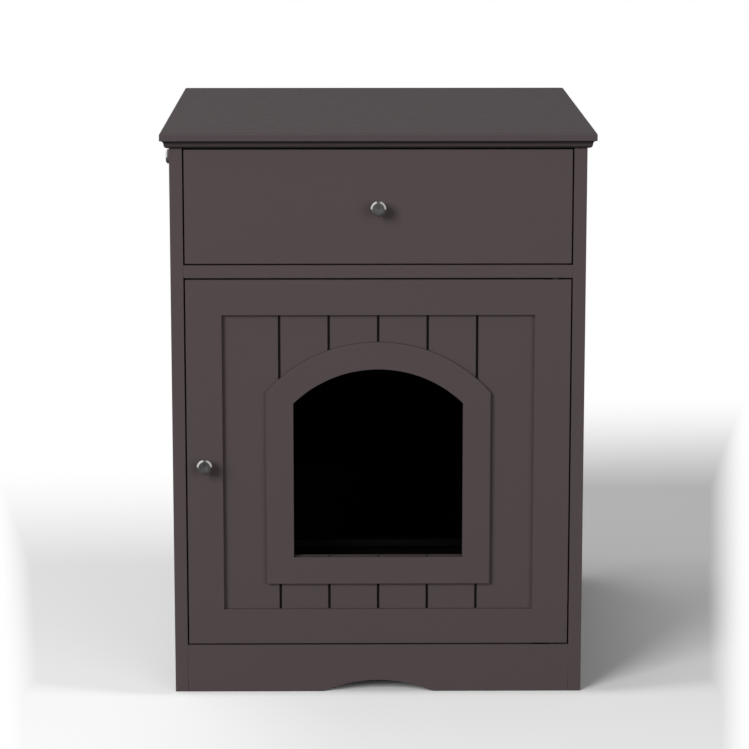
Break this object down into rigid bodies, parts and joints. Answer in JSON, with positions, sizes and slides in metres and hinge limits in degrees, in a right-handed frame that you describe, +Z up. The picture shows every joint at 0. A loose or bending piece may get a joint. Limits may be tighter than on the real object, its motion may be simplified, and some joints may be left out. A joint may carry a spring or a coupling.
{
  "type": "litter box cabinet",
  "caption": "Free-standing litter box cabinet with a moulded top, a drawer on roller runners, and an inset planked door with an arched cat entrance over a litter pan.",
  "frame": {"origin": "on the floor under the centre of the top board's outline", "axes": "+X to the cabinet's right as seen from the front, +Y to the back, +Z up; the door and drawer face -Y"},
  "size_m": [0.5105, 0.56, 0.665],
  "materials": {
    "painted_board": "smooth satin paint in a dark warm grey-brown",
    "drawer_board": "the same paint, inside the drawer",
    "satin_nickel": "polished rim, satin face",
    "hinge_brass": "satin",
    "zinc_steel": "zinc plated",
    "runner_steel": "white powder coat",
    "nylon": "natural nylon",
    "beech": "bare",
    "black_plastic": "moulded",
    "magnet": "ground ferrite",
    "pan_plastic": "moulded, black"
  },
  "bodies": {
    "cabinet": {"top_board": "painted_board", "side_panel_left": "painted_board", "side_panel_right": "painted_board", "divider_shelf": "painted_board", "floor_board": "painted_board", "apron": "painted_board", "rear_rail": "painted_board", "back_panel": "painted_board", "back_panel_pins": "zinc_steel", "carcass_cam_bolts": "zinc_steel", "carcass_cam_discs": "zinc_steel", "carcass_dowels": "beech", "side_knob": "satin_nickel", "side_knob_screw": "zinc_steel", "cabinet_runner_left": "runner_steel", "cabinet_runner_right": "runner_steel", "cabinet_runner_screws": "zinc_steel", "front_roller_pins": "zinc_steel", "hinge_cabinet_leaves": "hinge_brass", "hinge_pins": "zinc_steel", "hinge_washers": "black_plastic", "hinge_cabinet_screws": "hinge_brass", "catch_housing": "black_plastic", "catch_magnet": "magnet", "catch_screws": "zinc_steel"},
    "drawer": {"drawer_front": "painted_board", "drawer_side_left": "drawer_board", "drawer_side_right": "drawer_board", "drawer_back": "drawer_board", "drawer_bottom": "drawer_board", "drawer_cam_bolts": "zinc_steel", "drawer_cam_discs": "zinc_steel", "drawer_dowels": "beech", "drawer_back_screws": "zinc_steel", "drawer_knob": "satin_nickel", "drawer_knob_screw": "zinc_steel", "drawer_runner_left": "runner_steel", "drawer_runner_right": "runner_steel", "drawer_runner_screws": "zinc_steel", "rear_roller_pins": "zinc_steel"},
    "door": {"door_stile_left": "painted_board", "door_stile_right": "painted_board", "door_rail_top": "painted_board", "door_rail_bottom": "painted_board", "door_panel": "painted_board", "door_arch_surround": "painted_board", "door_dowels": "beech", "hinge_door_leaves": "hinge_brass", "hinge_door_screws": "hinge_brass", "strike_plate": "zinc_steel", "strike_screw": "zinc_steel", "door_knob": "satin_nickel", "door_knob_screw": "zinc_steel"},
    "litter_pan": {"litter_pan": "pan_plastic"},
    "front_roller_left": {"front_roller_left": "nylon"},
    "front_roller_right": {"front_roller_right": "nylon"},
    "rear_roller_left": {"rear_roller_left": "nylon"},
    "rear_roller_right": {"rear_roller_right": "nylon"}
  },
  "joints": [
    {"name": "drawer_slide", "type": "slide", "parent": "cabinet", "child": "drawer", "axis": [0, -1, 0], "range_m": [0, 0.29]},
    {"name": "door_hinge", "type": "hinge", "parent": "cabinet", "child": "door", "pos_m": [0.205, -0.25725, 0.2765], "axis": [0, 0, 1], "range_deg": [0, 110]},
    {"name": "pan_slide", "type": "slide", "parent": "cabinet", "child": "litter_pan", "axis": [0, -1, 0], "range_m": [0, 0.045]},
    {"name": "front_roller_left_spin", "type": "hinge", "parent": "cabinet", "child": "front_roller_left", "pos_m": [-0.2195, -0.23375, 0.5305], "axis": [1, 0, 0], "range_deg": [0, 1662]},
    {"name": "front_roller_right_spin", "type": "hinge", "parent": "cabinet", "child": "front_roller_right", "pos_m": [0.2195, -0.23375, 0.5305], "axis": [1, 0, 0], "range_deg": [0, 1662]},
    {"name": "rear_roller_left_spin", "type": "hinge", "parent": "drawer", "child": "rear_roller_left", "pos_m": [-0.218, 0.13625, 0.5305], "axis": [1, 0, 0], "range_deg": [0, 1662]},
    {"name": "rear_roller_right_spin", "type": "hinge", "parent": "drawer", "child": "rear_roller_right", "pos_m": [0.218, 0.13625, 0.5305], "axis": [1, 0, 0], "range_deg": [0, 1662]}
  ],
  "couplings": [
    {"joint": "front_roller_left_spin", "follows": "drawer_slide", "rad_per_m": 100},
    {"joint": "front_roller_right_spin", "follows": "drawer_slide", "rad_per_m": 100},
    {"joint": "rear_roller_left_spin", "follows": "drawer_slide", "rad_per_m": 100},
    {"joint": "rear_roller_right_spin", "follows": "drawer_slide", "rad_per_m": 100}
  ]
}
